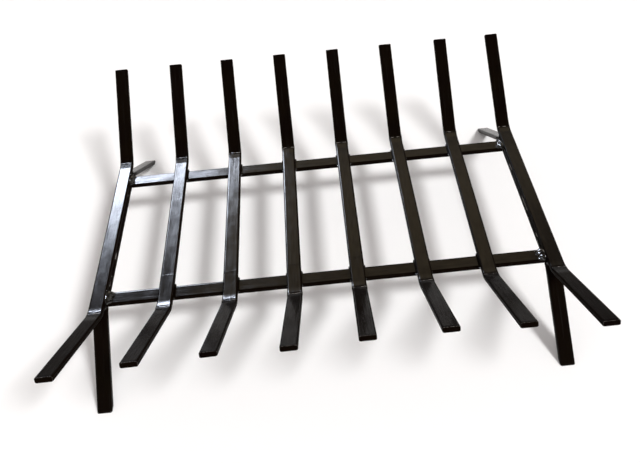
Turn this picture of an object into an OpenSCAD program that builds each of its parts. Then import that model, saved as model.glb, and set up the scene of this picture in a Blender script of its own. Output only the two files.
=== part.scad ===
// Log grate: eight flat bars, each bent up at the front and at the back, welded across
// two cross bars, with a bent leg strap under each outer bar. Everything is one stock
// of hot-rolled flat bar.
// Millimetres. +X runs along the cross bars, +Y to the back of the hearth, +Z up.
// The origin is on the hearth floor, under the middle of the grate's outer box.

/* [Bar stock] */
// Width of the flat bar that everything is made of
bar_w = 19; // [15:0.5:24]
// Thickness of the flat bar
bar_t = 6.5; // [5:0.5:9]
// Inside radius of every bend
bend_r = 6; // [3:0.5:8]

/* [Top bars] */
// Distance between the middles of the two outer bars
bar_span = 587; // [500:1:700]
// Level middle of each bar, from its front bend to its rear bend
seat_l = 278; // [220:1:340]
// Length of the front prongs, along their upper face
prong_l = 148; // [100:1:190]
// Extra length of the first bar's prong, which was cut a little long
first_prong_extra = 4; // [0:1:10]
// Rise of the front prongs from level
prong_angle = 33.5; // [25:0.5:42]
// Length of the rear uprights, along their upper face
upright_l = 153; // [100:1:200]
// Rise of the rear uprights from level
upright_angle = 33.5; // [25:0.5:45]

/* [Cross bars] */
// From the bars' front bend back to the front cross bar's front edge
front_cross_set = 18; // [16:0.5:40]
// From the bars' rear bend forward to the rear cross bar's rear edge
rear_cross_set = 22.5; // [18:0.5:50]

/* [Leg straps] */
// Height of the straps' and cross bars' upper faces over the hearth
stand_h = 74; // [50:1:110]
// Slope of the legs below level
leg_angle = 33.5; // [30:0.5:50]
// From the bars' front bend back to the straps' front bend, on its inside
strap_front_set = 18; // [14:0.5:40]
// From the bars' rear bend forward to the straps' rear bend, on its inside
strap_rear_set = 17; // [14:0.5:40]
// How far each strap lies inward of its outer bar
strap_inset = 1; // [0:0.5:3]

/* [Welds] */
// Radius of the lumps in the corner welds
corner_bead_r = 7; // [6:0.1:7.5]
// How far the corner welds' lumps are centred in from the outer bar's side
corner_bead_set = 4.5; // [2:0.1:6]
// How deep the corner welds' lumps are centred under the cross bar's top
corner_bead_sink = 1.6; // [1.2:0.1:3]
// Radius of the lumps in the fillets under the inner bars
fillet_bead_r = 4; // [2.5:0.1:4.5]
// Radius of the lumps in the notch where a strap bends away from its bar
notch_bead_r = 6; // [4:0.1:7]
// Step from one weld lump to the next
bead_pitch = 3.6; // [2.5:0.1:4.2]

/* [Hidden] */
$fn = 32;

paint = [0.10, 0.095, 0.09];
weld_paint = [0.17, 0.165, 0.16];

// The bars were set by eye and bent by hand, so each is a little off its even place:
// sideways at the front bend, sideways at the rear bend, and in the prong's rise.
front_nudge = [0, 3, 2, 0.5, -1.5, -0.5, -2.5, 0];
rear_nudge = [0, 2, 0, -1, -2, -1.5, 0, 0];
rise_nudge = [-2, 0, 1, 0, 1, 1, -0.5, -3.5];

bar_count = 8;
last = bar_count - 1;
bar_pitch = bar_span / last;

function even_x(i) = -bar_span / 2 + i * bar_pitch;
function front_x(i) = even_x(i) + front_nudge[i];
function rear_x(i) = even_x(i) + rear_nudge[i];
function heading(i) = atan((rear_x(i) - front_x(i)) / seat_l);
function rise(i) = prong_angle + rise_nudge[i];
function prong_length(i) = prong_l + (i == 0 ? first_prong_extra : 0);
// Middle of a bar at a distance back from its front bend
function bar_x(i, back) = front_x(i) + (rear_x(i) - front_x(i)) * back / seat_l;

// How far a bent-up end reaches past its bend, with the lower corner of its cut end
function reach(length, angle) = length * cos(angle) + bar_t * sin(angle);

front_reach = max([for (i = [0:last]) reach(prong_length(i), rise(i))]);
rear_reach = reach(upright_l, upright_angle);
grate_depth = front_reach + seat_l + rear_reach;
front_y = front_reach - grate_depth / 2;
rear_y = front_y + seat_l;

top_z = stand_h + bar_t;
under_z = stand_h - bar_t;
front_cross_y = front_y + front_cross_set + bar_w / 2;
rear_cross_y = rear_y - rear_cross_set - bar_w / 2;
strap_x = bar_span / 2 - strap_inset;
strap_l = seat_l - strap_front_set - strap_rear_set;
strap_y = front_y + strap_front_set;
cross_l = 2 * strap_x - bar_w;
outer_bar_side = (bar_span - bar_w) / 2;
// A leg's bent end is made this long and then cut off level at the hearth
leg_blank_l = stand_h / sin(leg_angle) + 2 * bar_t;
// On its upper side a strap turns this much sooner than on its inside
outside_lead = bar_t * tan(leg_angle / 2);

// Flats that each bend is drawn with
bend_steps = 6;
corner_beads = 3;
fillet_beads = 5;
notch_beads = 3;
// Every second lump of a weld is smaller by this share
ripple = 0.1;

function lump_r(r, k) = r * (1 - ripple * (k % 2));
function lump_at(k, count) = (k - (count - 1) / 2) * bead_pitch;

// One face of a bent-up end, from where its bend begins to its tip, with the bend's
// crease at 0; face_r is the radius of that face in the bend
function bent_end(length, angle, face_r) =
    let (tangent = bend_r * tan(angle / 2), straight = length - tangent)
    concat(
        [for (k = [0:bend_steps]) let (turn = angle * k / bend_steps)
            [face_r * sin(turn) - tangent, bend_r - face_r * cos(turn)]],
        [[face_r * sin(angle) - tangent + straight * cos(angle),
            bend_r - face_r * cos(angle) + straight * sin(angle)]]);

function to_front(points) = [for (p = points) [-p[0], p[1]]];
function to_rear(points, level) = [for (p = points) [level + p[0], p[1]]];
function reversed(points) = [for (k = [len(points) - 1:-1:0]) points[k]];

// Level flat bar with both ends bent up; its creases are at y = 0 and y = level
module bent_bar(level, front_l, front_angle, rear_l, rear_angle) {
    lower_r = bend_r + bar_t;
    rotate([90, 0, 90]) linear_extrude(bar_w, center = true) polygon(concat(
        reversed(to_front(bent_end(front_l, front_angle, bend_r))),
        to_rear(bent_end(rear_l, rear_angle, bend_r), level),
        reversed(to_rear(bent_end(rear_l, rear_angle, lower_r), level)),
        to_front(bent_end(front_l, front_angle, lower_r))));
}

module top_bar(i) {
    color(paint)
        translate([front_x(i), front_y, top_z]) rotate([0, 0, -heading(i)])
            bent_bar(seat_l, prong_length(i), rise(i), upright_l, upright_angle);
}

module cross_bar(y) {
    color(paint) translate([-cross_l / 2, y - bar_w / 2, under_z]) cube([cross_l, bar_w, bar_t]);
}

// The strap is a bent bar turned upside down, with its feet cut off level
module leg_strap(side) {
    color(paint) difference() {
        translate([side * strap_x, strap_y, under_z]) mirror([0, 0, 1])
            bent_bar(strap_l, leg_blank_l, leg_angle, leg_blank_l, leg_angle);
        translate([side * strap_x - bar_w, -grate_depth, -2 * stand_h])
            cube([2 * bar_w, 2 * grate_depth, 2 * stand_h]);
    }
}

// Row of weld lumps along Z, centred on the origin, turned from +X towards +Y
module lumps(r, count, angle) {
    half_l = lump_at(count, count) + r;
    rotate_extrude(angle = angle) intersection() {
        for (k = [0:count - 1])
            translate([0, lump_at(k, count)]) circle(lump_r(r, k));
        translate([0, -half_l]) square([r, 2 * half_l]);
    }
}

// Wide weld across the top of one end of a cross bar, against the outer bar's side
module corner_weld(side, y) {
    color(weld_paint) mirror([side < 0 ? 1 : 0, 0, 0]) intersection() {
        translate([outer_bar_side - corner_bead_set, y, stand_h - corner_bead_sink])
            rotate([90, 0, 0]) lumps(corner_bead_r, corner_beads, 360);
        translate([outer_bar_side - bar_w, y - bar_w, stand_h]) cube([bar_w, 2 * bar_w, bar_w]);
    }
}

// Fillet under one bar, along one long side of a cross bar; way is the side it lies on
module fillet_weld(x, edge_y, way) {
    translate([x, edge_y, stand_h]) mirror([0, way > 0 ? 0 : 1, 0])
        rotate([0, 90, 0]) lumps(fillet_bead_r, fillet_beads, 90);
}

// The four fillets that hold one inner bar
module bar_welds(i) {
    color(weld_paint)
        for (y = [front_cross_y, rear_cross_y], way = [-1, 1])
            fillet_weld(bar_x(i, y - front_y), y + way * bar_w / 2, way);
}

// Weld in the notch where a strap bends down and away from its outer bar; way is the
// end of the strap it lies at
module notch_weld(side, y, way) {
    translate([side * strap_x, y, stand_h]) mirror([0, way > 0 ? 0 : 1, 0])
        rotate([0, 90, 0]) rotate(90 - leg_angle) lumps(notch_bead_r, notch_beads, leg_angle);
}

// The two notch welds that hold one strap
module strap_welds(side) {
    color(weld_paint) {
        notch_weld(side, strap_y - outside_lead, -1);
        notch_weld(side, strap_y + strap_l + outside_lead, 1);
    }
}

top_bar(0);  // bar_1
top_bar(1);  // bar_2
top_bar(2);  // bar_3
top_bar(3);  // bar_4
top_bar(4);  // bar_5
top_bar(5);  // bar_6
top_bar(6);  // bar_7
top_bar(7);  // bar_8
cross_bar(front_cross_y);  // front_cross_bar
cross_bar(rear_cross_y);  // rear_cross_bar
leg_strap(-1);  // left_leg_strap
leg_strap(1);  // right_leg_strap
corner_weld(-1, front_cross_y);  // front_left_weld
corner_weld(1, front_cross_y);  // front_right_weld
corner_weld(-1, rear_cross_y);  // rear_left_weld
corner_weld(1, rear_cross_y);  // rear_right_weld
bar_welds(1);  // bar_2_welds
bar_welds(2);  // bar_3_welds
bar_welds(3);  // bar_4_welds
bar_welds(4);  // bar_5_welds
bar_welds(5);  // bar_6_welds
bar_welds(6);  // bar_7_welds
strap_welds(-1);  // left_strap_welds
strap_welds(1);  // right_strap_welds
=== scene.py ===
import math

import bmesh
import bpy
from mathutils import Matrix, Vector, noise


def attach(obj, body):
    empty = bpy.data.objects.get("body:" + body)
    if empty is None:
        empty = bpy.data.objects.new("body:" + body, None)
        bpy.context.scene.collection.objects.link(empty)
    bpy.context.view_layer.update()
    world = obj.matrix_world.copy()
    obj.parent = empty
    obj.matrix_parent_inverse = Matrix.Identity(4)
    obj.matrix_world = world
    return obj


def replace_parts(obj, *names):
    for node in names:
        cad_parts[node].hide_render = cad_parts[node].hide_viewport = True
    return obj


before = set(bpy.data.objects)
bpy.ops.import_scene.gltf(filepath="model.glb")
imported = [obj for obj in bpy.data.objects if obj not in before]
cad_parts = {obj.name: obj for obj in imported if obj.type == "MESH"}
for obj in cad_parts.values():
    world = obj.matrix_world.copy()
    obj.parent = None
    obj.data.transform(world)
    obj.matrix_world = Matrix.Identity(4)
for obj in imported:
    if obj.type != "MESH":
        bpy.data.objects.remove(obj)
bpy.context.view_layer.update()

MM = 0.001
BODY = "root"

# ---------------------------------------------------------------- the grate's sizes
# In mm and degrees, the same as in the CAD source
BAR_W, BAR_T = 19.0, 6.5
BEND_R = 6.0
BEND = 33.5
BAR_COUNT = 8
BAR_SPAN = 587.0
SEAT_L = 278.0
PRONG_L, FIRST_PRONG_L, UPRIGHT_L = 148.0, 152.0, 153.0
STAND_H = 74.0
UNDER_Z, TOP_Z = STAND_H - BAR_T, STAND_H + BAR_T
FRONT_Y = -138.087
FRONT_CROSS_Y, REAR_CROSS_Y = -110.587, 107.913
STRAP_X = 292.5
STRAP_Y, STRAP_L = -120.087, 243.0
OUTER_SIDE_X = (BAR_SPAN - BAR_W) / 2
CROSS_HALF = STRAP_X - BAR_W / 2
HALF_WIDTH = (BAR_SPAN + BAR_W) / 2

# How far each bar's front and rear bends lie off even spacing, and each prong's extra rise
FRONT_NUDGE = [0, 3, 2, 0.5, -1.5, -0.5, -2.5, 0]
REAR_NUDGE = [0, 2, 0, -1, -2, -1.5, 0, 0]
RISE_NUDGE = [-2, 0, 1, 0, 1, 1, -0.5, -3.5]

# ---------------------------------------------------------------- what the solids leave out
# Lists hold one value per bar, in mm unless said otherwise.
# How far each prong's end and each upright's tip leans sideways out of its bar's line
PRONG_LEAN = [0.0, -0.8, -2.1, -1.6, -1.0, 0.5, 1.2, 0.0]
TIP_LEAN = [0.0, 0.1, -0.6, -0.5, 0.2, 0.3, 1.0, 0.0]
# Hollow (+) or crown (-) rolled into each bar's upper face, and into a cross bar and a strap
HOLLOW = [0.03, 0.09, 0.05, -0.03, 0.03, -0.04, 0.04, 0.03]
OTHER_HOLLOW = 0.03
# Height of the slow curve that leads into each bar's front bend
SWELL = [0.65, 1.35, 1.2, 0.9, 0.9, 0.9, 0.9, 0.9]
# Bow of each level bar, its middle down and its bends up, so that it still lies on the cross
# bars; BOW_REST is where the curve crosses their height
BOW = [0.3, 1.3, 0.3, 0.1, 0.0, 0.2, 0.1, 0.0]
BOW_REST = 0.618
# Slight twist of each bar about its length, in degrees, the right edge up, and of the cross
# bars, the rear edge up
TWIST = [0.0, 0.1, 0.7, 0.2, 0.0, -0.2, 0.1, 0.0]
FRONT_CROSS_TWIST, REAR_CROSS_TWIST = 0.0, 1.0
# Distance of the bending tool's mark behind each bar's front bend, 0 for none
PRESS_MARK = [0, 51, 47, 48, 50, 0, 0, 0]
# How much of the gloss each prong's faces have lost, on the scale of the side attribute
PRONG_DULL = [0.1774, 0.1699, 0.1586, 0.0, 0.0, 0.1648, 0.1643, 0.1775]
# How dull the narrow sides of the legs are, on the same scale; all others are at 1
LEG_DULL = 0.06

# The section's rolled corners: a slow roll-off of the wide face, then a tight arc
ROLL_W, ROLL_FROM, ROLL_TILT, ROLL_STEPS = 1.7, 8.0, 30.0, 5
EDGE_R, ARC_STEPS = 1.1, 5
# Where the section's points lie on its wide and narrow faces, as shares of them. A thin first
# and last strip keep the corner's shading off the wide face.
WIDE_STRIPS = 9
WIDE_AT = [0.015] + [k / WIDE_STRIPS for k in range(1, WIDE_STRIPS)] + [0.985]
NARROW_AT = (0.12, 0.5, 0.88)

# Distance between stations on the straight, near a bend or a mark, and on a cross bar
STEP, FINE_STEP, CROSS_STEP = 5.0, 0.34, 6.0
# How far to each side of a bend and of a mark the stations are close together
BEND_BAND, MARK_BAND = 9.0, 3

# A cut end's edges are rounded by END_ROUND in END_STEPS steps
END_ROUND, END_STEPS = 0.7, 3
# Grey on the long edges (wear and painted glints) and a painted highlight on the cuts' edges, on
# the scale of the edge attribute
LONG_EDGE_WEAR_AND_GLINT, CUT_EDGE_GLINT = 0.5, 0.74
# A bent end's dullness has set in after one part in DULL_ONSET of its length
DULL_ONSET = 10

# Shifts of the UVs, in mm, so that each piece, cut end and bead shows its own stretch of the
# finish's patterns
UV_STEP, CROSS_UV, LEG_UV, CUT_UV, BEAD_UV = 700, 6000, 9000, 40, 60
# Spacing of a bead's points in its UVs, round it and along it
BEAD_U, BEAD_V = 0.7, 0.45

# Noise on a line: how much, its scale per mm, and the row of the noise field that it is read
# from, which keeps one use apart from another
JAG, FINE_JAG = (0.55, 0.35, 3.0), (0.35, 1.1, 9.0)
GROOVE_VARIES, FRONT_LIP_VARIES = (0.8, 0.33, 20.0), (1.9, 0.4, 33.0)
REAR_LIP_VARIES, REAR_LIP_FINE = (0.9, 0.3, 20.0), (0.5, 1.1, 40.0)
# the next two vary the grey line along the bends (rubbing and a painted glint), and the chips and
# painted glint on the straps' inner edges
RUB_AND_GLINT_VARIES, CHIPS_AND_GLINTS = (1.7, 0.3, 55.0), (2.5, 0.07, 5.0)

# Marks across a bend: height, distance past the bend's middle, and width
SPECKS = (0.15, -3.5, 3.0)
GROOVE, FRONT_LIP, REAR_LIP = (0.5, -1.3, 0.7), (0.24, 1.2, 0.7), (0.58, 0.3, 0.72)
# The grey line on a bend, whose height is how much of it shows: rubbing, and a painted glint
# along the bend's marks
RUB_AND_GLINT_LINE = (1.0, 0.4, 0.75)
# Scale per mm of the specks across and along the bar, and their layer of the noise field
SPECK_ACROSS, SPECK_ALONG, SPECK_LAYER = 0.75, 0.6, 2.0
# The mean and least height of the rear lip, and the mean grey of rubbing and painted glint on a
# bend, as shares
REAR_LIP_MEAN, REAR_LIP_LEAST, RUB_AND_GLINT_MEAN = 0.9, 0.15, 0.75
# The slow curve before a front bend, and the rise before a rear one: its length, its slope and
# the length over which it starts. Both fade out past the bend.
LEAD_L = 11.0
RISE_L, RISE_SLOPE, RISE_START = 10.5, 0.07, 1.5
PAST_BEND = 5.0

# The bending tool's mark: height and width of its line, and the dip between it and the bend,
# which starts DIP_FROM behind the bend and is deepest DIP_END in front of the line
LINE_H, LINE_W = 0.05, 0.8
DIP, DIP_FROM, DIP_END = 0.1, 8, 20.0

# Waves in a rolled face: height, scale per mm across and along, layer of the noise field
SKIN = ((0.045, 0.09, 0.028, 0.0), (0.012, 0.4, 0.11, 7.0))
# Depth at which a face's unevenness has faded out of the section
SKIN_DEPTH = 1.6
# Swelling of a bend's sides, above at the inside of the bend and below at its outside
BAR_BULGE, STRAP_BULGE, BULGE_BAND = (0.75, -0.45), (0.6, -0.4), 4.5
# Wander of a bar's sides: how much, and its scale per mm
WANDER, WANDER_SCALE = 0.05, 0.03
# Chips and a broken painted glint on a strap's inner edge: the edge's width, how much grey it
# takes on average, and how much more that is on the right strap and less on the left
CHIP_AND_GLINT_W, CHIP_AND_GLINT_MEAN, CHIP_AND_GLINT_EXTRA = 2, 0.1, 0.25

# How far one step of a seed moves through the noise field, and the seeds of single parts
SEED_X, SEED_Y, SEED_Z = 31.7, -17.3, 5.1
REAR_SEED, WANDER_SEED = 40, 70
FRONT_CROSS_SEED, REAR_CROSS_SEED, LEFT_LEG_SEED, RIGHT_LEG_SEED = 1, 2, 3, 4
SEEDS_PER_BAR, REAR_WELD_SEED, STRAP_WELD_SEED = 10, 5, 77


def even_x(i):
    return -BAR_SPAN / 2 + i * BAR_SPAN / (BAR_COUNT - 1)


def front_x(i):
    return even_x(i) + FRONT_NUDGE[i]


def rear_x(i):
    return even_x(i) + REAR_NUDGE[i]


def bar_x(i, y):
    return front_x(i) + (rear_x(i) - front_x(i)) * (y - FRONT_Y) / SEAT_L


def rough(x, y, z, seed):
    """Smooth noise between -1 and 1."""
    return noise.noise(Vector((x + SEED_X * seed, y + SEED_Y * seed, z + SEED_Z * seed)))


def varies(at, pattern, seed):
    """Noise on a line, at mm along it."""
    amount, scale, row = pattern
    return amount * rough(at * scale, row, 0, seed)


def bell(d, width):
    return math.exp(-(d / width) ** 2)


def ridge(d, mark, jag, share):
    """A mark across a bend, d mm past the bend's middle and moved by jag."""
    height, at, width = mark
    return height * share * bell(d - at - jag, width)


# ---------------------------------------------------------------- meshes
def new_piece(name, verts, faces, uvs, mat, slot, **attributes):
    """Closed mesh from points in mm. uvs holds one (u, v) per face corner, and an attribute
    one number per vertex. edge is how much of the grey of bare metal shows, 1 for all of it,
    as worn finish and as painted glints and highlights. side is how dull it is, 1 on a narrow
    side or a cut end and 0 on a glossy wide face."""
    me = bpy.data.meshes.new(name)
    me.from_pydata([Vector(v) * MM for v in verts], [], faces)
    layer = me.uv_layers.new(name="UVMap")
    layer.data.foreach_set("uv", [c * MM for uv in uvs for c in uv])
    for key, values in attributes.items():
        me.attributes.new(key, "FLOAT", "POINT").data.foreach_set("value", values)
    me.polygons.foreach_set("use_smooth", [True] * len(me.polygons))
    me.materials.append(mat)
    me.update()
    bm = bmesh.new()
    bm.from_mesh(me)
    bmesh.ops.recalc_face_normals(bm, faces=bm.faces)
    bm.to_mesh(me)
    bm.free()
    ob = bpy.data.objects.new(name, me)
    bpy.context.scene.collection.objects.link(ob)
    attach(ob, BODY)
    return ob


def tube(base, count, rings, uv, cap_uv):
    """Faces and UVs of a closed tube of rings with count points each, the first at base.
    uv(ring, k) has one k more than a ring has points, for the far side of the seam. cap_uv(k)
    is for the faces that close its ends."""
    faces, uvs = [], []
    for r in range(rings - 1):
        for k in range(count):
            a, b = base + r * count + k, base + r * count + (k + 1) % count
            faces.append((a, b, b + count, a + count))
            uvs += [uv(r, k), uv(r, k + 1), uv(r + 1, k + 1), uv(r + 1, k)]
    for r, order in ((0, range(count)), (rings - 1, range(count - 1, -1, -1))):
        faces.append(tuple(base + r * count + k for k in order))
        uvs += [cap_uv(k) for k in order]
    return faces, uvs


def corner_profile():
    """A rolled corner from the end of the wide face to the start of the narrow one, as
    (along the wide face, down, tilt in degrees): a slow roll-off, then a tight arc."""
    pts, x, z = [(0.0, 0.0, 0.0)], 0.0, 0.0
    for k in range(ROLL_STEPS):
        tilt = ROLL_FROM + (ROLL_TILT - ROLL_FROM) * (k + 0.5) / ROLL_STEPS
        x += ROLL_W / ROLL_STEPS * math.cos(math.radians(tilt))
        z += ROLL_W / ROLL_STEPS * math.sin(math.radians(tilt))
        pts.append((x, z, tilt))
    a0 = math.radians(ROLL_TILT)
    for k in range(1, ARC_STEPS + 1):
        a = a0 + (math.pi / 2 - a0) * k / ARC_STEPS
        pts.append((x + EDGE_R * (math.sin(a) - math.sin(a0)),
                    z + EDGE_R * (math.cos(a0) - math.cos(a)), math.degrees(a)))
    return pts


def stock_section():
    """The rolled bar's section as (across, depth, on an edge, on a narrow side), round from
    the left end of the upper face. It is the same when turned by half a turn."""
    corner = corner_profile()
    flat_half, drop = BAR_W / 2 - corner[-1][0], corner[-1][1]
    half = [(flat_half * (2 * f - 1), 0.0, 0.0, 0.0) for f in WIDE_AT]
    turned = [(flat_half + x, -z, max(0.0, math.sin(math.radians(2 * a))) ** 2, a / 90)
              for x, z, a in corner]
    half += turned
    half += [(BAR_W / 2, -drop - (BAR_T - 2 * drop) * f, 0.0, 1.0) for f in NARROW_AT]
    half += [(x, -BAR_T - d, e, n) for x, d, e, n in reversed(turned)]
    return half + [(-x, -BAR_T - d, e, n) for x, d, e, n in half]


def distances_round(section):
    """Distance round the section to each of its points, and back to the first."""
    out = [0.0]
    for a, b in zip(section, section[1:] + section[:1]):
        out.append(out[-1] + math.hypot(a[0] - b[0], a[1] - b[1]))
    return out


SECTION = stock_section()
AROUND = distances_round(SECTION)


def sweep(name, stations, place, mat, v_offset, dull_ends=1.0, wear_and_glint=None, prong_dull=0.0):
    """Closed skin of the bar's section over the stations. place(station, side, depth, along)
    gives the point; along slides it inwards from a cut end, to round the cut's edges.
    dull_ends is how dull the narrow sides are on a bent end; 1 on the level part.
    wear(station, side, depth) adds worn places and painted glints, 0 to 1. prong_dull is how
    dull all faces of the front bent end are."""
    half_w, half_t = BAR_W / 2, BAR_T / 2
    verts, edge, narrow, run = [], [], [], []

    def ring(st, inset=0.0, along=0.0, cut=0.0):
        """One loop of points. cut is the angle from the bar's skin towards its cut end."""
        on_end = min(1.0, DULL_ONSET * st["end_f"])
        dull = 1 + (dull_ends - 1) * on_end
        on_prong = prong_dull * on_end if st["slope"] < 0 else 0.0
        for side, depth, on_edge, on_side in SECTION:
            s = side * (half_w - inset) / half_w
            d = -half_t + (depth + half_t) * (half_t - inset) / half_t
            verts.append(place(st, s, d, along))
            rub_and_glint = wear_and_glint(st, s, d) if wear_and_glint else 0.0
            # the edge attribute: wear and painted glints on the long edges, a painted highlight
            # on the cut's edges, and the grey marks of the bends and straps
            edge.append(max(LONG_EDGE_WEAR_AND_GLINT * on_edge, CUT_EDGE_GLINT * math.sin(2 * cut), rub_and_glint))
            narrow.append(max(on_side * dull, math.sin(cut) * dull, on_prong))
        run.append(st["run"] + along + v_offset)

    def cut_ring(st, a, way):
        """One of the loops that round a cut end; a is 0 on the cut and a right angle off it."""
        inset, along = END_ROUND * (1 - math.sin(a)), END_ROUND * (1 - math.cos(a))
        ring(st, inset, way * along, math.pi / 2 - a)

    turns = [math.pi / 2 * k / END_STEPS for k in range(END_STEPS + 1)]
    for a in turns:
        cut_ring(stations[0], a, 1)
    for st in stations[1:-1]:
        ring(st)
    for a in reversed(turns):
        cut_ring(stations[-1], a, -1)
    faces, uvs = tube(0, len(SECTION), len(run), lambda r, k: (AROUND[k], run[r]),
                      lambda k: (SECTION[k][0] + CUT_UV, SECTION[k][1] + v_offset))
    return new_piece(name, verts, faces, uvs, mat, "black_finish", edge=edge, side=narrow)


def spaced(a, b, step):
    """Values from a on, about step apart, and b left out."""
    n = max(1, int(round(abs(b - a) / step)))
    return [a + (b - a) * k / n for k in range(n)]


def bent_stations(level, front_l, front_a, rear_l, rear_a, mark=0):
    """Stations along the inside face of a bar with both ends bent up. y and z are counted
    from the front crease; slope is the rise of the face; df and dr are the distances along
    the face from the middles of the two bends; end_f is 0 to 1 along a bent-up end."""
    fa, ra = math.radians(front_a), math.radians(rear_a)
    ft, rt = BEND_R * math.tan(fa / 2), BEND_R * math.tan(ra / 2)
    f_arc, r_arc = BEND_R * fa, BEND_R * ra
    mid = level - ft - rt
    start, end = -f_arc - (front_l - ft), mid + r_arc + rear_l - rt
    runs = spaced(start, -f_arc - BEND_BAND, STEP)
    runs += spaced(-f_arc - BEND_BAND, BEND_BAND, FINE_STEP)
    level_from = BEND_BAND
    if mark:
        level_from = mark + MARK_BAND
        runs += spaced(BEND_BAND, mark - MARK_BAND, STEP)
        runs += spaced(mark - MARK_BAND, level_from, FINE_STEP)
    runs += spaced(level_from, mid - BEND_BAND, STEP)
    runs += spaced(mid - BEND_BAND, mid + r_arc + BEND_BAND, FINE_STEP)
    runs += spaced(mid + r_arc + BEND_BAND, end, STEP) + [end]
    out = []
    for s in runs:
        end_f = 0.0
        if s < -f_arc:
            d = -f_arc - s
            y = ft - BEND_R * math.sin(fa) - d * math.cos(fa)
            z = BEND_R - BEND_R * math.cos(fa) + d * math.sin(fa)
            slope, end_f = -fa, d / (front_l - ft)
        elif s < 0:
            slope = s / BEND_R
            y, z = ft + BEND_R * math.sin(slope), BEND_R - BEND_R * math.cos(slope)
        elif s <= mid:
            y, z, slope = ft + s, 0.0, 0.0
        elif s < mid + r_arc:
            slope = (s - mid) / BEND_R
            y, z = ft + mid + BEND_R * math.sin(slope), BEND_R - BEND_R * math.cos(slope)
        else:
            d = s - mid - r_arc
            y = ft + mid + BEND_R * math.sin(ra) + d * math.cos(ra)
            z = BEND_R - BEND_R * math.cos(ra) + d * math.sin(ra)
            slope, end_f = ra, d / (rear_l - rt)
        out.append({"y": y, "z": z, "slope": slope, "run": s, "end_f": end_f,
                    "df": s + f_arc / 2, "dr": s - mid - r_arc / 2})
    return out


def lead_in(d, height):
    """Height of the slow curve that starts LEAD_L before a bend, and fades out on the bent
    end. d is the distance from the middle of the bend, positive on that end."""
    if d <= -LEAD_L:
        return 0.0
    if d <= 0:
        return height * ((d + LEAD_L) / LEAD_L) ** 2
    return height * bell(d, PAST_BEND)


def ragged(side, seed):
    """How far the marks at a bend wander along the bar."""
    return varies(side, JAG, seed) + varies(side, FINE_JAG, seed)


def front_crease(side, d, seed, swell):
    """Height of the marks at a front bend: a slow curve, then a ragged pressed groove and a
    broken lip."""
    jag = ragged(side, seed)
    some = 1.0 + varies(side, GROOVE_VARIES, seed)
    specks = ridge(d, SPECKS, 0.0, rough(side * SPECK_ACROSS, d * SPECK_ALONG, SPECK_LAYER, seed))
    lip = ridge(d, FRONT_LIP, jag, max(0.0, varies(side, FRONT_LIP_VARIES, seed)))
    return lead_in(d, swell) + specks - ridge(d, GROOVE, jag, some) + lip


def rear_crease(side, d, seed):
    """Height of the marks at a rear bend: a slow rise, then a thin ragged lip."""
    jag = ragged(side, seed)
    some = REAR_LIP_MEAN + varies(side, REAR_LIP_VARIES, seed) + varies(side, REAR_LIP_FINE, seed)
    into = max(0.0, min(d, 0.0) + RISE_L)
    rise = RISE_SLOPE * into ** 2 / (into + RISE_START) * bell(max(d, 0.0), PAST_BEND)
    return rise + ridge(d, REAR_LIP, jag, max(some, REAR_LIP_LEAST))


def press_mark(i, s):
    """Height of the faint mark where bars 2 to 5 lay in the bending tool, s mm behind the
    front bend: a thin line, and a slight dip in front of it."""
    at = PRESS_MARK[i]
    if not at:
        return 0.0
    dip = 0.0
    if DIP_FROM < s < at:
        dip = -DIP * min((at - s) / DIP_END, (s - DIP_FROM) / (at - DIP_FROM - DIP_END))
    return dip + LINE_H * bell(s - at, LINE_W)


def skin(side, run, seed, hollow):
    """Small unevenness of a rolled wide face, as a height."""
    h = sum(height * rough(side * across, run * along, layer, seed)
            for height, across, along, layer in SKIN)
    return h - hollow * (1 - (side / (BAR_W / 2)) ** 2)


def upper_share(depth):
    """How far a point of the section follows the upper face's unevenness."""
    return max(0.0, 1 + depth / SKIN_DEPTH)


def off_face(st, along, up):
    """(y, z) of a point that lies along mm on from a station and up mm above its face."""
    return (st["y"] + along * math.cos(st["slope"]) - up * math.sin(st["slope"]),
            st["z"] + along * math.sin(st["slope"]) + up * math.cos(st["slope"]))


def bulge(st, depth, above, below):
    """Sideways swelling of a bar at its bends: the inside of the bend is squeezed outwards,
    above mm at the upper face, and the outside is drawn in, below mm at the lower one."""
    near = bell(st["df"], BULGE_BAND) + bell(st["dr"], BULGE_BAND)
    return near * (above + (above - below) * depth / BAR_T)


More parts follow.
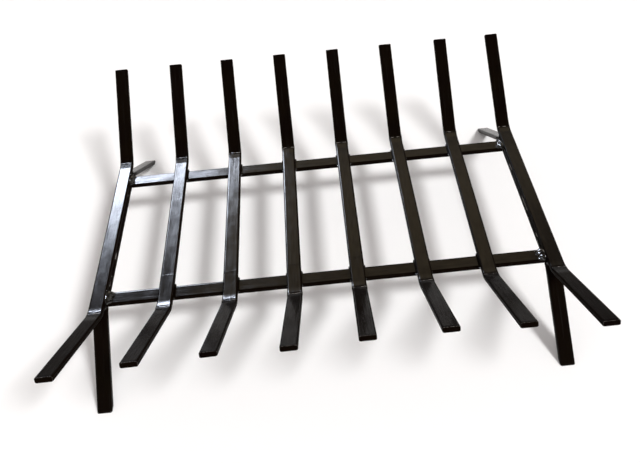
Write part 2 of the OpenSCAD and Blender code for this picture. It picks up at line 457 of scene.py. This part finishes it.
def top_bar(i, mat):
    seed = i + 1
    heading = math.atan((rear_x(i) - front_x(i)) / SEAT_L)
    length = FIRST_PRONG_L if i == 0 else PRONG_L
    stations = bent_stations(SEAT_L, length, BEND + RISE_NUDGE[i], UPRIGHT_L, BEND,
                             PRESS_MARK[i])

    def place(st, side, depth, along):
        d, share = depth + side * math.tan(math.radians(TWIST[i])), upper_share(depth)
        bow = min(1.0, (2 * st["y"] / SEAT_L - 1) ** 2) - BOW_REST
        d += BOW[i] * bow * (1 - st["end_f"])
        if share:
            up = skin(side, st["run"], seed, HOLLOW[i]) + press_mark(i, st["df"])
            up += (front_crease(side, -st["df"], seed, SWELL[i])
                   + rear_crease(side, st["dr"], seed + REAR_SEED))
            d += share * up
        s = side * (1 + bulge(st, depth, *BAR_BULGE) / (BAR_W / 2))
        s += WANDER * rough(1.0, st["run"] * WANDER_SCALE, 0, seed + WANDER_SEED)
        y, z = off_face(st, along, d)
        lean = PRONG_LEAN[i] if st["y"] < SEAT_L / 2 else TIP_LEAN[i]
        s += lean * st["end_f"]
        x = front_x(i) + s * math.cos(heading) + y * math.sin(heading)
        x = max(-HALF_WIDTH, min(HALF_WIDTH, x))
        return (x, FRONT_Y + y * math.cos(heading) - s * math.sin(heading), TOP_Z + z)

    def wear_and_glint(st, side, depth):
        """The marks at both bends take the grey of bare metal: rubbing, and a painted glint along
        them.
        """
        out = 0.0
        for d, key in ((-st["df"], seed), (st["dr"], seed + REAR_SEED)):
            some = min(1.0, max(0.0, RUB_AND_GLINT_MEAN + varies(side, RUB_AND_GLINT_VARIES, key)))
            out += ridge(d, RUB_AND_GLINT_LINE, ragged(side, key), some)
        return min(1.0, out) * upper_share(depth)

    return sweep("bar_%d_steel" % (i + 1), stations, place, mat, UV_STEP * i, wear_and_glint=wear_and_glint,
                 prong_dull=PRONG_DULL[i])


def cross_bar(name, yc, mat, seed, twist):
    stations = [{"run": r, "slope": 0.0, "end_f": 0.0}
                for r in spaced(-CROSS_HALF, CROSS_HALF, CROSS_STEP) + [CROSS_HALF]]

    def place(st, side, depth, along):
        d = depth - side * math.tan(math.radians(twist))
        d += upper_share(depth) * skin(side, st["run"], seed, OTHER_HOLLOW)
        return (st["run"] + along, yc - side, STAND_H + d)

    return sweep(name, stations, place, mat, CROSS_UV + UV_STEP * seed)


def leg_strap(name, side_sign, mat, seed):
    a = math.radians(BEND)
    foot_l = UNDER_Z / math.sin(a)
    stations = bent_stations(STRAP_L, foot_l, BEND, foot_l, BEND)

    def place(st, side, depth, along):
        # a leg ends level on the floor, so its outer face runs on further than its inner one
        stretch = st["end_f"] * -depth / math.tan(a)
        if st["slope"] < 0:
            stretch = -stretch
        s = side * (1 + bulge(st, depth, *STRAP_BULGE) / (BAR_W / 2))
        d = depth - upper_share(-BAR_T - depth) * skin(side, st["run"], seed, OTHER_HOLLOW)
        y, z = off_face(st, along + stretch, d)
        return (side_sign * STRAP_X + s, STRAP_Y + y, max(0.0, UNDER_Z - z))

    def wear_and_glint(st, side, depth):
        """The finish is chipped here and there on the inner edge under the top bar, and a broken
        painted glint runs along it.
        """
        if side * side_sign > CHIP_AND_GLINT_W - BAR_W / 2 or st["end_f"]:
            return 0.0
        some = CHIP_AND_GLINT_MEAN + CHIP_AND_GLINT_EXTRA * side_sign + varies(st["run"], CHIPS_AND_GLINTS, seed)
        return min(1.0, max(0.0, some)) * upper_share(-BAR_T - depth)

    return sweep(name, stations, place, mat, LEG_UV + UV_STEP * seed, LEG_DULL, wear_and_glint)


# ---------------------------------------------------------------- welds
X, Y, Z = Vector((1, 0, 0)), Vector((0, 1, 0)), Vector((0, 0, 1))

# A bead's sizes along its two faces, its length, the pitch and height of its ripples, the
# height of its crown, the length of its rounded ends, and how lumpy it is, 0 to 1
LEFT_CORNER_BEAD = dict(size_a=7.6, size_b=5.8, length=20.6, pitch=4.2, ripple_h=0.75,
                        crown_h=0.5, end_r=3.8, lumpy=0.8)
RIGHT_CORNER_BEAD = dict(size_a=9.6, size_b=5.0, length=20.6, pitch=4.2, ripple_h=0.95,
                         crown_h=1.0, end_r=3.8, lumpy=0.7)
BAR_BEAD = dict(size_a=3.9, size_b=3.9, length=22.4, pitch=3.4, ripple_h=0.3,
                crown_h=0.5, end_r=3.2, lumpy=0.25)
STRAP_BEAD = dict(size_a=6.0, size_b=6.0, length=19.2, pitch=3.4, ripple_h=0.25,
                  crown_h=0.2, end_r=3.0, lumpy=0.25)
# Distance between a bead's rings, points of a ring across it, and the share of its size that
# is left at its ends
RING_STEP, RING_POINTS, TIP_SHARE = 0.35, 18, 0.06
# How far a ripple curves back at the toes, in pitches, and how steeply it rises
RIPPLE_CURVE, RIPPLE_POWER = 1.5, 0.8
# Noise of a bead: how much, and its scale along the bead per mm. The crown's also runs
# CROWN_ACROSS times across it.
TOE_VARIES, CROWN_VARIES, RIPPLE_VARIES = (0.6, 0.16), (1.6, 0.2), (1.2, 0.12)
CROWN_ACROSS = 1.9
TOE_LAYER, CROWN_LAYER = 8.0, 4.0


def bead(root, along, leg_a, leg_b, seed, size_a, size_b, length, pitch, ripple_h, crown_h,
         end_r, lumpy):
    """One weld bead in the angle between two faces: a stack of overlapping rounded ripples.
    leg_a and leg_b are unit vectors along the faces, away from the root line."""
    steps = int(length / RING_STEP)
    out = (size_b * leg_a + size_a * leg_b).normalized()
    toe_amount, toe_scale = TOE_VARIES
    crown_amount, crown_scale = CROWN_VARIES
    ripple_amount, ripple_scale = RIPPLE_VARIES
    rings = []
    for i in range(steps + 1):
        l = -length / 2 + length * i / steps
        q = (abs(l) - (length / 2 - end_r)) / end_r
        taper = max(math.sqrt(max(0.0, 1 - q * q)) if q > 0 else 1.0, TIP_SHARE)
        toe = 1 + toe_amount * lumpy * rough(l * toe_scale, 0.0, TOE_LAYER, seed)
        ring = [root + along * l]
        for k in range(RING_POINTS + 1):
            t = k / RING_POINTS
            phase = (l + pitch * RIPPLE_CURVE * (t - 0.5) ** 2
                     + ripple_amount * rough(l * ripple_scale, t, 0, seed)) / pitch
            wave = 0.5 + 0.5 * math.cos(2 * math.pi * phase)
            crown = math.sin(math.pi * t)
            lumps = rough(l * crown_scale, t * CROWN_ACROSS, CROWN_LAYER, seed)
            rise = crown_h * crown * (1 + crown_amount * lumpy * lumps)
            rise += ripple_h * crown ** RIPPLE_POWER * wave ** RIPPLE_POWER
            p = (leg_a * (size_a * (1 - t)) + leg_b * (size_b * t)) * toe + out * rise
            ring.append(root + along * l + p * taper)
        rings.append(ring)
    return rings


def weld_piece(name, beads, mat):
    verts, faces, uvs = [], [], []
    for b, rings in enumerate(beads):
        shift = BEAD_UV * b
        more_faces, more_uvs = tube(len(verts), len(rings[0]), len(rings),
                                    lambda r, k: (k * BEAD_U, r * BEAD_V + shift),
                                    lambda k: (k * BEAD_U, shift))
        verts += [tuple(p) for ring in rings for p in ring]
        faces += more_faces
        uvs += more_uvs
    return new_piece(name, verts, faces, uvs, mat, "black_weld")


def corner_weld(name, sign, yc, mat, seed):
    root = Vector((sign * OUTER_SIDE_X, yc, STAND_H))
    sizes = LEFT_CORNER_BEAD if sign < 0 else RIGHT_CORNER_BEAD
    return weld_piece(name, [bead(root, Y, -sign * X, Z, seed, **sizes)], mat)


def bar_welds(i, mat):
    beads = []
    for yc in (FRONT_CROSS_Y, REAR_CROSS_Y):
        for way in (-1, 1):
            root = Vector((bar_x(i, yc), yc + way * BAR_W / 2, STAND_H))
            seed = SEEDS_PER_BAR * i + way + (REAR_WELD_SEED if yc > 0 else 0)
            beads.append(bead(root, X, Y * way, -Z, seed, **BAR_BEAD))
    return weld_piece("bar_%d_weld_beads" % (i + 1), beads, mat)


def strap_welds(name, sign, mat):
    a = math.radians(BEND)
    lead = BAR_T * math.tan(a / 2)
    beads = []
    for way, y in ((-1, STRAP_Y - lead), (1, STRAP_Y + STRAP_L + lead)):
        root = Vector((sign * STRAP_X, y, STAND_H))
        slope = Vector((0, way * math.cos(a), -math.sin(a)))
        seed = STRAP_WELD_SEED + way + sign
        beads.append(bead(root, X, Y * way, slope, seed, **STRAP_BEAD))
    return weld_piece(name, beads, mat)


# ---------------------------------------------------------------- materials
# Noise patterns in the UV map: how far they are drawn out along the bar (1 is not at all),
# scale per metre, detail and roughness
FINE_STREAK, STREAK = (0.025, 1000.0, 2.0, 0.5), (0.03, 430.0, 3.0, 0.6)
GRAIN, SCALES = (0.8, 1300.0, 3.0, 0.6), (0.4, 560.0, 2.0, 0.45)
PATCH, CLOUD = (0.7, 60.0, 3.0, 0.55), (1.0, 26.0, 3.0, 0.55)
GLOSS_BREAKS = (0.08, 600.0, 3.0, 0.65)
WELD_GRAIN, LUMPS = (1.0, 900.0, 4.0, 0.6), (1.0, 260.0, 3.0, 0.55)
# The values between which a pattern changes the surface
MOST, MIDDLE, ALL = (0.3, 0.7), (0.35, 0.65), (0.0, 1.0)
STREAK_TOPS, WEAR_AND_GLINT_FROM, PATCH_TOPS = (0.55, 0.8), (0.6, 0.9), (0.4, 0.62)
BREAK_MIDDLE, LUMP_MIDDLE = (0.36, 0.64), (0.46, 0.56)

# The finish: linear colours and how much of each shows, and its roughness by the patches, the
# streaks and the side attribute
BROWN, OLIVE = (0.0028, 0.0013, 0.0008), (0.0038, 0.0021, 0.0009)
STREAK_GREY, STREAK_SHARE = (0.010, 0.0095, 0.009), (0.0, 0.5)
# the grey of bare metal where the finish is worn, which also paints glints and highlights on
# edges, cuts and bends
WEAR_AND_GLINT_GREY, WEAR_AND_GLINT_SHARE, WEAR_AND_GLINT_GRAIN = (0.27, 0.25, 0.23), (0.0, 0.9), (-0.2, 0.2)
ROUGHNESS, STREAK_ROUGHNESS, SIDE_ROUGHNESS = (0.12, 0.19), (-0.03, 0.03), 0.16
FINISH_IOR = 1.24
# The finish's specular level: FULL_GLOSS, but less on a face seen nearly edge on, by Layer
# Weight's Facing, and almost none where the side attribute is high, times BREAK_GLOSS
FULL_GLOSS, GRAZING_GLOSS, SIDE_GLOSS = 0.5, 0.14, 0.02
GRAZING_FROM, SIDE_FROM, BREAK_GLOSS = (0.38, 0.55), (0.09, 0.18), (0.7, 1.2)
# How much of the scales' bump the patches leave
SCALY_SHARE = (0.15, 1.0)
# Bumps: strength, and height in metres
STREAK_BUMP, FINE_STREAK_BUMP = (0.8, 0.00009), (0.6, 0.000014)
SCALES_BUMP, GRAIN_BUMP = (0.9, 0.00009), (0.5, 0.000008)

# The same for the welds, whose gloss goes by the lumps
SOOT, WELD_BROWN = (0.003, 0.0025, 0.002), (0.010, 0.008, 0.006)
WELD_ROUGHNESS, WELD_GLOSS, WELD_IOR = (0.07, 0.15), (0.08, 1.0), 1.55
LUMPS_BUMP, WELD_GRAIN_BUMP = (0.8, 0.0007), (0.3, 0.00003)

PAPER = (0.93, 0.93, 0.93, 1.0)


class Nodes:
    """Short hand for adding and joining the nodes of one tree."""

    def __init__(self, tree):
        self.tree = tree

    def add(self, kind, **props):
        node = self.tree.nodes.new(kind)
        for key, value in props.items():
            setattr(node, key, value)
        return node

    def link(self, a, b):
        self.tree.links.new(a, b)

    def noise(self, uv, pattern):
        along, scale, detail, roughness = pattern
        if along != 1.0:
            m = self.add("ShaderNodeMapping")
            m.inputs["Scale"].default_value = (1.0, along, 1.0)
            self.link(uv, m.inputs["Vector"])
            uv = m.outputs["Vector"]
        n = self.add("ShaderNodeTexNoise")
        n.inputs["Scale"].default_value = scale
        n.inputs["Detail"].default_value = detail
        n.inputs["Roughness"].default_value = roughness
        self.link(uv, n.inputs["Vector"])
        return n.outputs["Fac"]

    def remap(self, value, source, target):
        m = self.add("ShaderNodeMapRange")
        for key, v in zip(("From Min", "From Max", "To Min", "To Max"), source + target):
            m.inputs[key].default_value = v
        self.link(value, m.inputs["Value"])
        return m.outputs["Result"]

    def calc(self, op, a, b):
        m = self.add("ShaderNodeMath", operation=op)
        for k, v in enumerate((a, b)):
            if isinstance(v, float):
                m.inputs[k].default_value = v
            else:
                self.link(v, m.inputs[k])
        return m.outputs["Value"]

    def mix(self, fac, a, b):
        m = self.add("ShaderNodeMix", data_type="RGBA")
        self.link(fac, m.inputs["Factor"])
        for key, v in (("A", a), ("B", b)):
            sock = [s for s in m.inputs if s.name == key and s.type == "RGBA"][0]
            if isinstance(v, tuple):
                sock.default_value = (*v, 1.0)
            else:
                self.link(v, sock)
        return [s for s in m.outputs if s.type == "RGBA"][0]

    def bump(self, height, amount, normal=None):
        b = self.add("ShaderNodeBump")
        b.inputs["Strength"].default_value, b.inputs["Distance"].default_value = amount
        self.link(height, b.inputs["Height"])
        if normal is not None:
            self.link(normal, b.inputs["Normal"])
        return b.outputs["Normal"]


def new_material(name):
    """A material, its nodes, and its shader's inputs."""
    mat = bpy.data.materials.new(name)
    mat.use_nodes = True
    return mat, Nodes(mat.node_tree), mat.node_tree.nodes["Principled BSDF"].inputs


def black_finish():
    """Semi-gloss black finish on rolled bar: streaks along the bar, fine grain, brownish
    clouds, and a lighter grey on edges and bend marks, partly wear and partly painted glints and
    highlights. Narrow sides and cut ends are duller."""
    mat, n, shader = new_material("black_finish")
    uv = n.add("ShaderNodeUVMap", uv_map="UVMap").outputs["UV"]
    streak, grain, patch = n.noise(uv, STREAK), n.noise(uv, GRAIN), n.noise(uv, PATCH)
    edge = n.add("ShaderNodeAttribute", attribute_name="edge").outputs["Fac"]
    side = n.add("ShaderNodeAttribute", attribute_name="side").outputs["Fac"]

    tone = n.mix(n.remap(n.noise(uv, CLOUD), MIDDLE, ALL), BROWN, OLIVE)
    tone = n.mix(n.remap(streak, STREAK_TOPS, STREAK_SHARE), tone, STREAK_GREY)
    # the grey of bare metal where the edge attribute is high: wear, and painted glints and
    # highlights on edges, cuts and bends
    broken_edge = n.calc("ADD", edge, n.remap(grain, MOST, WEAR_AND_GLINT_GRAIN))
    tone = n.mix(n.remap(broken_edge, WEAR_AND_GLINT_FROM, WEAR_AND_GLINT_SHARE), tone, WEAR_AND_GLINT_GREY)
    n.link(tone, shader["Base Color"])

    r = n.calc("ADD", n.remap(streak, MOST, STREAK_ROUGHNESS), n.remap(patch, MOST, ROUGHNESS))
    r = n.calc("ADD", r, n.calc("MULTIPLY", side, SIDE_ROUGHNESS))
    n.link(r, shader["Roughness"])
    facing = n.add("ShaderNodeLayerWeight").outputs["Facing"]
    gloss = n.calc("MINIMUM", n.remap(facing, GRAZING_FROM, (FULL_GLOSS, GRAZING_GLOSS)),
                   n.remap(side, SIDE_FROM, (FULL_GLOSS, SIDE_GLOSS)))
    breaks = n.remap(n.noise(uv, GLOSS_BREAKS), BREAK_MIDDLE, BREAK_GLOSS)
    gloss = n.calc("MULTIPLY", gloss, breaks)
    n.link(gloss, shader["Specular IOR Level"])
    shader["IOR"].default_value = FINISH_IOR

    normal = n.bump(streak, STREAK_BUMP)
    normal = n.bump(n.noise(uv, FINE_STREAK), FINE_STREAK_BUMP, normal)
    scaly = n.calc("MULTIPLY", n.noise(uv, SCALES), n.remap(patch, PATCH_TOPS, SCALY_SHARE))
    normal = n.bump(scaly, SCALES_BUMP, normal)
    n.link(n.bump(grain, GRAIN_BUMP, normal), shader["Normal"])
    return mat


def weld_finish():
    """The same finish lying thin and shiny over weld metal, with soot-brown hollows."""
    mat, n, shader = new_material("black_weld")
    uv = n.add("ShaderNodeUVMap", uv_map="UVMap").outputs["UV"]
    grain, lumps = n.noise(uv, WELD_GRAIN), n.noise(uv, LUMPS)
    n.link(n.mix(n.remap(lumps, MIDDLE, ALL), SOOT, WELD_BROWN), shader["Base Color"])
    n.link(n.remap(grain, MOST, WELD_ROUGHNESS), shader["Roughness"])
    # the finish shines on the high spots of the metal and lies dull in the hollows
    n.link(n.remap(lumps, LUMP_MIDDLE, WELD_GLOSS), shader["Specular IOR Level"])
    shader["IOR"].default_value = WELD_IOR
    normal = n.bump(lumps, LUMPS_BUMP)
    n.link(n.bump(grain, WELD_GRAIN_BUMP, normal), shader["Normal"])
    return mat


def floor_paper():
    mat, _, shader = new_material("floor_paper")
    shader["Base Color"].default_value = PAPER
    shader["Roughness"].default_value = 1.0
    shader["Specular IOR Level"].default_value = 0.0
    return mat


steel = black_finish()
weld = weld_finish()

# ---------------------------------------------------------------- the grate
for i in range(BAR_COUNT):
    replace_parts(top_bar(i, steel), "bar_%d" % (i + 1))
for name, yc, seed, twist in (
        ("front_cross_bar", FRONT_CROSS_Y, FRONT_CROSS_SEED, FRONT_CROSS_TWIST),
        ("rear_cross_bar", REAR_CROSS_Y, REAR_CROSS_SEED, REAR_CROSS_TWIST)):
    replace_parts(cross_bar(name + "_steel", yc, steel, seed, twist), name)
for name, sign, seed in (("left_leg_strap", -1, LEFT_LEG_SEED),
                         ("right_leg_strap", 1, RIGHT_LEG_SEED)):
    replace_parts(leg_strap(name + "_steel", sign, steel, seed), name)
for name, sign, yc, seed in (("front_left_weld", -1, FRONT_CROSS_Y, 2),
                             ("front_right_weld", 1, FRONT_CROSS_Y, 5),
                             ("rear_left_weld", -1, REAR_CROSS_Y, 9),
                             ("rear_right_weld", 1, REAR_CROSS_Y, 13)):
    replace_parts(corner_weld(name + "_bead", sign, yc, weld, seed), name)
for i in range(1, BAR_COUNT - 1):
    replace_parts(bar_welds(i, weld), "bar_%d_welds" % (i + 1))
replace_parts(strap_welds("left_strap_weld_beads", -1, weld), "left_strap_welds")
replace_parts(strap_welds("right_strap_weld_beads", 1, weld), "right_strap_welds")

# ---------------------------------------------------------------- floor and light, in metres
FLOOR_HALF = 30.0
PANEL_FAR = 6.0
# The room's light by the Z of the direction it comes from, from the horizon up
ROOM = ((0.0, (0.98, 0.98, 0.98)), (0.2, (0.9, 0.9, 0.9)), (0.45, (0.55, 0.54, 0.52)),
        (0.7, (0.42, 0.40, 0.37)), (0.8, (0.3, 0.28, 0.25)), (0.88, (0.05, 0.045, 0.04)))
# High up, the room is darker on the side the camera stands on: what is left of the light
# there, by the direction's Y, and low down, by its Z. The larger of the two counts.
CAMERA_SIDE, CAMERA_SIDE_LIGHT = (-0.55, -0.15), (0.3, 1.0)
LOW_DOWN, LOW_DOWN_LIGHT = (0.4, 0.62), (1.0, 0.0)

scene = bpy.context.scene
scene.view_settings.view_transform = "Standard"


def add_object(name, data):
    ob = bpy.data.objects.new(name, data)
    scene.collection.objects.link(ob)
    return ob


def aim(ob, direction):
    ob.rotation_euler = Vector(direction).to_track_quat("-Z", "Y").to_euler()


def sky(azimuth, elevation):
    """Unit vector to a place in the studio: azimuth from +Y, positive to the right."""
    a, e = math.radians(azimuth), math.radians(elevation)
    return Vector((math.sin(a) * math.cos(e), math.cos(a) * math.cos(e), math.sin(e)))


def sun(name, azimuth, elevation, angle, energy, color):
    lamp = bpy.data.lights.new(name, "SUN")
    lamp.energy, lamp.angle, lamp.color = energy, math.radians(angle), color
    ob = add_object(name, lamp)
    aim(ob, -sky(azimuth, elevation))
    ob.visible_glossy = False


def panel(name, azimuth, elevation, width, height, radiance, color):
    """A studio panel seen only in reflections, PANEL_FAR away in the given direction. Its
    width and height are angles."""
    lamp = bpy.data.lights.new(name, "AREA")
    lamp.shape = "RECTANGLE"
    lamp.size = 2 * PANEL_FAR * math.tan(math.radians(width / 2))
    lamp.size_y = 2 * PANEL_FAR * math.tan(math.radians(height / 2))
    lamp.energy = radiance * math.pi * lamp.size * lamp.size_y
    lamp.color = color
    ob = add_object(name, lamp)
    ob.location = sky(azimuth, elevation) * PANEL_FAR
    aim(ob, -sky(azimuth, elevation))
    ob.visible_camera = False
    ob.visible_diffuse = False


def room(name):
    """The light of the room all round, brighter near the horizon."""
    world = bpy.data.worlds.new(name)
    world.use_nodes = True
    n = Nodes(world.node_tree)
    background = world.node_tree.nodes["Background"].inputs
    direction = n.add("ShaderNodeSeparateXYZ")
    n.link(n.add("ShaderNodeTexCoord").outputs["Generated"], direction.inputs["Vector"])
    ramp = n.add("ShaderNodeValToRGB")
    stops = ramp.color_ramp.elements
    for stop, (at, color) in zip(stops, (ROOM[0], ROOM[-1])):
        stop.position, stop.color = at, (*color, 1)
    for at, color in ROOM[1:-1]:
        stops.new(at).color = (*color, 1)
    n.link(direction.outputs["Z"], ramp.inputs["Fac"])
    n.link(ramp.outputs["Color"], background["Color"])
    side = n.remap(direction.outputs["Y"], CAMERA_SIDE, CAMERA_SIDE_LIGHT)
    low = n.remap(direction.outputs["Z"], LOW_DOWN, LOW_DOWN_LIGHT)
    n.link(n.calc("MAXIMUM", side, low), background["Strength"])
    return world


floor_mesh = bpy.data.meshes.new("floor")
floor_mesh.from_pydata([(-FLOOR_HALF, -FLOOR_HALF, 0), (FLOOR_HALF, -FLOOR_HALF, 0),
                        (FLOOR_HALF, FLOOR_HALF, 0), (-FLOOR_HALF, FLOOR_HALF, 0)],
                       [], [(0, 1, 2, 3)])
floor_mesh.materials.append(floor_paper())
floor = add_object("floor", floor_mesh)

sun("key", azimuth=120, elevation=50, angle=14, energy=2.5, color=(1.0, 1.0, 1.0))
sun("fill", azimuth=0, elevation=90, angle=150, energy=0.78, color=(1.0, 0.91, 0.92))
panel("window", azimuth=-26.8, elevation=29.5, width=18.4, height=24, radiance=92.0,
      color=(0.78, 0.85, 1.0))
panel("wall", azimuth=3.75, elevation=48.5, width=35.5, height=15, radiance=1.3,
      color=(1.0, 0.8, 0.48))
scene.world = room("studio")

# ---------------------------------------------------------------- camera
# It was solved from the photograph: place in metres, angles in degrees, lens in pixels
CAM = Vector((0.018026, -0.592427, 0.706905))
TILT, YAW, ROLL = 49.667, -1.065, -4.922
FOCAL_PX, IMAGE_W = 613.486, 640.0
SHIFT_PX = (24.51, 10.22)
SENSOR = 36.0
CLIP_START = 0.01

tilt, yaw, roll = (math.radians(v) for v in (TILT, YAW, ROLL))
right = Vector((math.cos(yaw), math.sin(yaw), 0))
forward = Vector((-math.sin(yaw) * math.cos(tilt), math.cos(yaw) * math.cos(tilt),
                  -math.sin(tilt)))
up = right.cross(forward)
cam_x = math.cos(roll) * right + math.sin(roll) * up
cam_y = -math.sin(roll) * right + math.cos(roll) * up
cam = bpy.data.cameras.new("camera")
cam.sensor_width, cam.sensor_fit = SENSOR, "HORIZONTAL"
cam.lens = FOCAL_PX / IMAGE_W * SENSOR
cam.shift_x, cam.shift_y = -SHIFT_PX[0] / IMAGE_W, SHIFT_PX[1] / IMAGE_W
cam.clip_start = CLIP_START
cam_ob = add_object("camera", cam)
basis = Matrix((cam_x, cam_y, -forward)).transposed().to_4x4()
cam_ob.matrix_world = Matrix.Translation(CAM) @ basis
scene.camera = cam_ob

bpy.context.view_layer.update()
